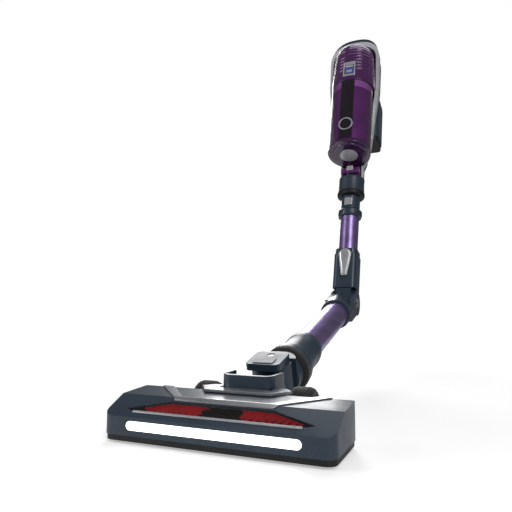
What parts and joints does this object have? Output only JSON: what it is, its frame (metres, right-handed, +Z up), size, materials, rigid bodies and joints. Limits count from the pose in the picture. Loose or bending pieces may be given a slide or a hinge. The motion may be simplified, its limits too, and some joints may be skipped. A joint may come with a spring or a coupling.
{
  "type": "cordless stick vacuum",
  "caption": "Cordless stick vacuum with a lit powered floor head, a folding tube wand and a hand unit with a clear dust bin, handle loop and battery.",
  "frame": {"origin": "on the floor, at the middle of the whole object's outline seen from above", "axes": "+X to the vacuum's right, +Y from the floor head's front towards the user, +Z up"},
  "size_m": [0.26, 0.8746, 0.7907],
  "materials": {
    "slate_plastic": "fine moulded grain, slate blue",
    "black_plastic": "matt black moulding",
    "silver_paint": "silver lacquer",
    "anodised_violet": "satin violet anodised tube",
    "clear_purple": "transparent purple",
    "purple_gloss": "glossy purple with fine grooves",
    "smoked_window": "transparent dark",
    "light_lens": "white diffuser",
    "rubber": "soft black rubber",
    "steel": "turned steel",
    "red_bristle": "red bristle tufts",
    "motor_metal": "cast motor can",
    "board_green": "circuit board",
    "filter_foam": "pleated filter and foam",
    "cell_wrap": "wrapped battery cells"
  },
  "bodies": {
    "head": {"head_shell": "slate_plastic", "sole_plate": "black_plastic", "light_bar": "light_lens", "light_board": "board_green", "brush_window": "smoked_window", "window_trim": "silver_paint", "head_trim": "silver_paint", "hump_cover": "slate_plastic", "hump_skirt": "silver_paint", "pivot_bracket": "slate_plastic", "wheel_axles": "steel", "roller_bearings": "steel", "brush_motor": "motor_metal", "drive_belt": "rubber", "rear_lip": "rubber", "sole_screws": "steel"},
    "roller": {"brush_roller": "black_plastic", "roller_bristles": "red_bristle"},
    "motor_rotor": {"motor_pulley": "black_plastic"},
    "wheel_left": {"wheel_left": "rubber"},
    "wheel_right": {"wheel_right": "rubber"},
    "caster_left": {"caster_left": "black_plastic"},
    "caster_right": {"caster_right": "black_plastic"},
    "neck": {"neck_body": "slate_plastic"},
    "lower_wand": {"elbow_yoke": "slate_plastic", "swing_pins": "steel", "elbow_plate": "silver_paint", "dotted_ring": "rubber", "lower_collar": "slate_plastic", "lower_tube": "anodised_violet", "knee_lower": "slate_plastic", "knee_pin": "steel"},
    "collar_button": {"collar_button": "silver_paint"},
    "upper_wand": {"knee_upper": "slate_plastic", "upper_tube": "anodised_violet", "wand_collar": "slate_plastic", "inlet_sleeve": "slate_plastic", "silver_frame": "silver_paint", "main_housing": "slate_plastic", "inlet_duct": "black_plastic", "motor_dome": "purple_gloss", "display": "silver_paint", "filters": "filter_foam", "suction_motor": "motor_metal", "handle_grip": "slate_plastic"},
    "knee_lever": {"knee_lever": "silver_paint"},
    "lock_bolts": {"lock_bolts": "steel"},
    "wand_button": {"wand_button": "silver_paint"},
    "bin": {"dust_bin": "clear_purple", "bin_inner": "black_plastic", "bin_lid": "clear_purple", "bin_trim": "silver_paint"},
    "bin_latch": {"bin_latch": "silver_paint"},
    "fan": {"fan": "motor_metal"},
    "trigger": {"trigger": "black_plastic"},
    "mode_button": {"mode_button": "silver_paint"},
    "battery": {"battery_case": "slate_plastic", "battery_cells": "cell_wrap", "battery_foot": "black_plastic"},
    "battery_button": {"battery_button": "black_plastic"}
  },
  "joints": [
    {"name": "roller_spin", "type": "hinge", "parent": "head", "child": "roller", "pos_m": [0, -0.399, 0.024], "axis": [1, 0, 0], "continuous": true},
    {"name": "motor_spin", "type": "hinge", "parent": "head", "child": "motor_rotor", "pos_m": [0, -0.3622, 0.028], "axis": [1, 0, 0], "continuous": true},
    {"name": "wheel_left_roll", "type": "hinge", "parent": "head", "child": "wheel_left", "pos_m": [-0.06, -0.319, 0.0265], "axis": [1, 0, 0], "continuous": true},
    {"name": "wheel_right_roll", "type": "hinge", "parent": "head", "child": "wheel_right", "pos_m": [0.06, -0.319, 0.0265], "axis": [1, 0, 0], "continuous": true},
    {"name": "caster_left_roll", "type": "hinge", "parent": "head", "child": "caster_left", "pos_m": [-0.112, -0.424, 0.007], "axis": [1, 0, 0], "continuous": true},
    {"name": "caster_right_roll", "type": "hinge", "parent": "head", "child": "caster_right", "pos_m": [0.112, -0.424, 0.007], "axis": [1, 0, 0], "continuous": true},
    {"name": "neck_pitch", "type": "hinge", "parent": "head", "child": "neck", "pos_m": [0, -0.319, 0.0265], "axis": [1, 0, 0], "range_deg": [-6, 46]},
    {"name": "neck_swing", "type": "hinge", "parent": "neck", "child": "lower_wand", "pos_m": [0, -0.25516, 0.04325], "axis": [0, -0.2538, 0.9673], "range_deg": [-38, 38]},
    {"name": "collar_button_press", "type": "slide", "parent": "lower_wand", "child": "collar_button", "axis": [0, 0.2538, -0.9673], "range_m": [0, 0.002], "stiffness_N_per_m": 300, "springref_m": -0.002},
    {"name": "knee_fold", "type": "hinge", "parent": "lower_wand", "child": "upper_wand", "pos_m": [0, 0.15109, 0.14983], "axis": [1, 0, 0], "range_deg": [-58.8, 28]},
    {"name": "knee_lever_pull", "type": "slide", "parent": "upper_wand", "child": "knee_lever", "axis": [0, -0.284, -0.9588], "range_m": [0, 0.008], "stiffness_N_per_m": 300, "springref_m": -0.002},
    {"name": "lock_bolt_lift", "type": "slide", "parent": "upper_wand", "child": "lock_bolts", "axis": [0, 0.284, 0.9588], "range_m": [0, 0.005]},
    {"name": "wand_button_press", "type": "slide", "parent": "upper_wand", "child": "wand_button", "axis": [0, 0.9588, -0.284], "range_m": [0, 0.002], "stiffness_N_per_m": 300, "springref_m": -0.002},
    {"name": "bin_slide", "type": "slide", "parent": "upper_wand", "child": "bin", "axis": [0, -0.9588, 0.284], "range_m": [0, 0.07]},
    {"name": "bin_latch_press", "type": "slide", "parent": "bin", "child": "bin_latch", "axis": [0, 0.9588, -0.284], "range_m": [0, 0.003], "stiffness_N_per_m": 300, "springref_m": -0.002},
    {"name": "fan_spin", "type": "hinge", "parent": "upper_wand", "child": "fan", "pos_m": [0, 0.27427, 0.67131], "axis": [0, 0.284, 0.9588], "continuous": true},
    {"name": "trigger_pull", "type": "slide", "parent": "upper_wand", "child": "trigger", "axis": [0, 0.9588, -0.284], "range_m": [0, 0.004], "stiffness_N_per_m": 300, "springref_m": -0.002},
    {"name": "mode_button_press", "type": "slide", "parent": "upper_wand", "child": "mode_button", "axis": [0, -0.9588, 0.284], "range_m": [0, 0.0015], "stiffness_N_per_m": 300, "springref_m": -0.002},
    {"name": "battery_slide", "type": "slide", "parent": "upper_wand", "child": "battery", "axis": [0, -0.284, -0.9588], "range_m": [0, 0.09]},
    {"name": "battery_button_press", "type": "slide", "parent": "battery", "child": "battery_button", "axis": [0, -0.9588, 0.284], "range_m": [0, 0.002], "stiffness_N_per_m": 300, "springref_m": -0.002}
  ],
  "couplings": [
    {"joint": "motor_spin", "follows": "roller_spin", "ratio": 1},
    {"joint": "lock_bolt_lift", "follows": "knee_lever_pull", "ratio": 0.625}
  ]
}
